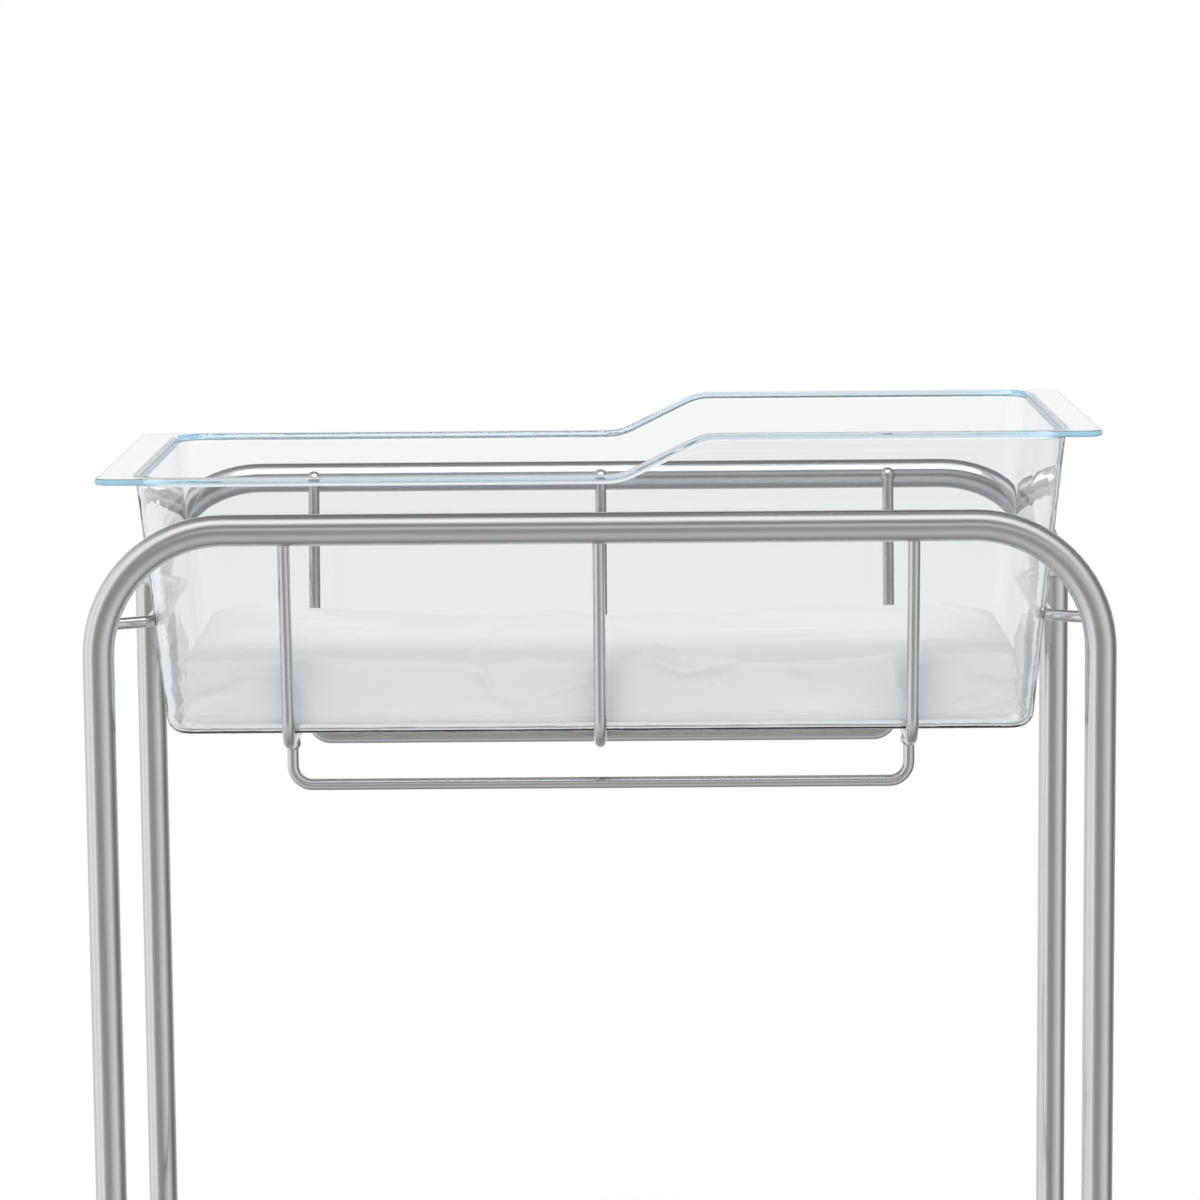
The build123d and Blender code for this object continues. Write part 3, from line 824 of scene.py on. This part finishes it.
# The studio as polished metal shows it: soft boxes and dark flags, by the angle from the camera's
# side, as pairs of degrees and level, over, under and to each side of the object
STUDIO = {
    "over": ((0, 0.7), (16, 0.9), (24, 0.5), (34, 0.3), (46, 0.45), (56, 1.2), (64, 1.5), (78, 1.5),
             (90, 0.8), (104, 0.23), (118, 0.4), (132, 0.18), (150, 0.22), (164, 1.0)),
    "under": ((0, 0.45), (16, 0.42), (26, 0.5), (38, 0.65), (48, 0.7), (64, 0.65), (80, 0.5),
              (92, 0.4), (104, 0.35), (118, 0.42), (134, 0.6), (158, 1.0)),
    "left": ((0, 0.45), (18, 0.35), (36, 0.55), (54, 1.35), (70, 1.05), (94, 1.3), (126, 0.9), (156, 1.0)),
    "right": ((0, 0.45), (22, 0.7), (38, 0.85), (56, 1.0), (64, 0.95), (80, 0.5), (98, 0.25),
              (106, 0.2), (120, 0.35), (136, 0.45), (156, 1.0)),
}
BRIGHTEST = 1.5


# The way to the large window that lights the cloth
WINDOW = Vector((-0.55, -0.8, 0.5))


def studio_bands(tree):
    """The studio's level in each direction, blended between its four sides."""
    direction = add_node(tree, "ShaderNodeTexCoord").outputs["Generated"]
    way = add_node(tree, "ShaderNodeSeparateXYZ", {"Vector": direction})
    turn = maths(tree, "MULTIPLY_ADD", way.outputs["Y"], 0.5, 0.5)
    parts = {
        "over": maths(tree, "MAXIMUM", way.outputs["Z"], 0.0),
        "under": maths(tree, "MINIMUM", way.outputs["Z"], 0.0),
        "left": maths(tree, "MINIMUM", way.outputs["X"], 0.0),
        "right": maths(tree, "MAXIMUM", way.outputs["X"], 0.0),
    }
    total = 0.0
    whole = 1e-6
    for side, part in parts.items():
        share = maths(tree, "MULTIPLY", part, part)
        ramp = add_node(tree, "ShaderNodeValToRGB", {"Fac": turn})
        elements = ramp.color_ramp.elements
        while len(elements) < len(STUDIO[side]):
            elements.new(0.5)
        for element, (angle, level) in zip(elements, STUDIO[side]):
            element.position = (1 - math.cos(math.radians(angle))) / 2
            element.color = (level / BRIGHTEST,) * 3 + (1.0,)
        total = maths(tree, "MULTIPLY_ADD", ramp.outputs["Color"], share, total)
        whole = maths(tree, "ADD", share, whole)
    return maths(tree, "MULTIPLY", maths(tree, "DIVIDE", total, whole), BRIGHTEST)


def add_surroundings(scene, settings):
    """White to the camera and through the plastic, banded to reflections, an even fill for the rest."""
    world = bpy.data.worlds.new("studio")
    world.use_nodes = True
    tree = world.node_tree
    tree.nodes.clear()
    path = add_node(tree, "ShaderNodeLightPath")
    banded = studio_bands(tree)
    # the light that falls on cloth is even, and metal keeps its bands when it is seen through the tub
    soft = maths(tree, "GREATER_THAN", path.outputs["Diffuse Depth"], 0.5)
    sharp = maths(tree, "SUBTRACT", 1.0, soft)
    reflected = maths(tree, "GREATER_THAN", path.outputs["Glossy Depth"], 0.5)
    straight = maths(tree, "MULTIPLY", path.outputs["Is Transmission Ray"], maths(tree, "SUBTRACT", sharp, reflected))
    seen = maths(tree, "MAXIMUM", path.outputs["Is Camera Ray"], straight)
    # what the tub's walls take from the light on the mattress is given back
    level = maths(tree, "MULTIPLY_ADD", path.outputs["Is Transmission Ray"], settings.fill * 0.95, settings.fill)
    # and most light comes from a large window on the left in front
    towards = add_node(
        tree, "ShaderNodeVectorMath",
        {0: add_node(tree, "ShaderNodeTexCoord").outputs["Generated"], 1: WINDOW.normalized()},
        operation="DOT_PRODUCT",
    )
    window = maths(tree, "POWER", maths(tree, "MAXIMUM", towards.outputs["Value"], 0.0), 14.0)
    level = maths(tree, "MULTIPLY", level, maths(tree, "MULTIPLY_ADD", window, 1.8, 0.92))
    even = add_node(tree, "ShaderNodeBackground", {"Color": (0.98, 0.99, 1.0, 1.0), "Strength": level})
    studio = add_node(tree, "ShaderNodeBackground", {"Color": banded, "Strength": 1.0})
    white = add_node(tree, "ShaderNodeBackground", {"Color": (1.0, 1.0, 1.0, 1.0), "Strength": 1.0})
    lit = add_node(
        tree, "ShaderNodeMixShader", {0: maths(tree, "MULTIPLY", reflected, sharp), 1: even.outputs[0], 2: studio.outputs[0]}
    )
    shown = add_node(tree, "ShaderNodeMixShader", {0: seen, 1: lit.outputs[0], 2: white.outputs[0]})
    add_node(tree, "ShaderNodeOutputWorld", {"Surface": shown.outputs[0]})
    scene.world = world


# Where the photograph was taken from, worked out from the two hoops
CAMERA_PLACE = Vector((22.7, -3594.3, 1285.0)) * MM
CAMERA_YAW = math.radians(-0.367)
CAMERA_PITCH = math.radians(7.973)
CAMERA_ROLL = math.radians(0.476)
CAMERA_SENSOR = 36.0
CAMERA_LENS = 129.5


def add_camera(scene):
    """The camera of the photograph: a long lens from the front, a little above the rim."""
    forward = Vector(
        (
            math.sin(CAMERA_YAW) * math.cos(CAMERA_PITCH),
            math.cos(CAMERA_YAW) * math.cos(CAMERA_PITCH),
            -math.sin(CAMERA_PITCH),
        )
    )
    level = Vector((math.cos(CAMERA_YAW), -math.sin(CAMERA_YAW), 0.0))
    down = forward.cross(level)
    right = math.cos(CAMERA_ROLL) * level + math.sin(CAMERA_ROLL) * down
    below = -math.sin(CAMERA_ROLL) * level + math.cos(CAMERA_ROLL) * down
    lens = bpy.data.cameras.new("camera")
    lens.sensor_width = CAMERA_SENSOR
    lens.lens = CAMERA_LENS
    lens.clip_start = 0.1
    lens.clip_end = 100.0
    camera = bpy.data.objects.new("camera", lens)
    turned = Matrix((right, -below, -forward)).transposed()
    camera.matrix_world = Matrix.Translation(CAMERA_PLACE) @ turned.to_4x4()
    scene.collection.objects.link(camera)
    scene.camera = camera


class BASSINET_PT_panel(bpy.types.Panel):
    """Lists the bassinet's pieces and their sizes and colours"""

    bl_idname = "BASSINET_PT_panel"
    bl_label = "Bassinet"
    bl_space_type = "VIEW_3D"
    bl_region_type = "UI"
    bl_category = "Bassinet"

    def draw(self, context):
        for part in ("steel", "tub", "mattress", "casters", "stage"):
            group = getattr(context.scene.bassinet, part)
            box = self.layout.box()
            for name in group.__annotations__:
                box.prop(group, name)
        for operator in OPERATORS:
            self.layout.operator(operator.bl_idname)


OPERATORS = (
    BASSINET_OT_stage,
    BASSINET_OT_stand,
    BASSINET_OT_tub,
    BASSINET_OT_mattress,
    BASSINET_OT_casters,
)
CLASSES = (
    SteelSettings,
    TubSettings,
    MattressSettings,
    CasterSettings,
    StageSettings,
    BassinetSettings,
    *OPERATORS,
    BASSINET_PT_panel,
)


def register():
    for cls in CLASSES:
        bpy.utils.register_class(cls)
    bpy.types.Scene.bassinet = PointerProperty(type=BassinetSettings)


def unregister():
    del bpy.types.Scene.bassinet
    for cls in reversed(CLASSES):
        bpy.utils.unregister_class(cls)


def main():
    register()
    bpy.ops.bassinet.stage()
    bpy.ops.bassinet.stand()
    bpy.ops.bassinet.tub()
    bpy.ops.bassinet.mattress()
    bpy.ops.bassinet.casters()


if __name__ == "__main__":
    main()
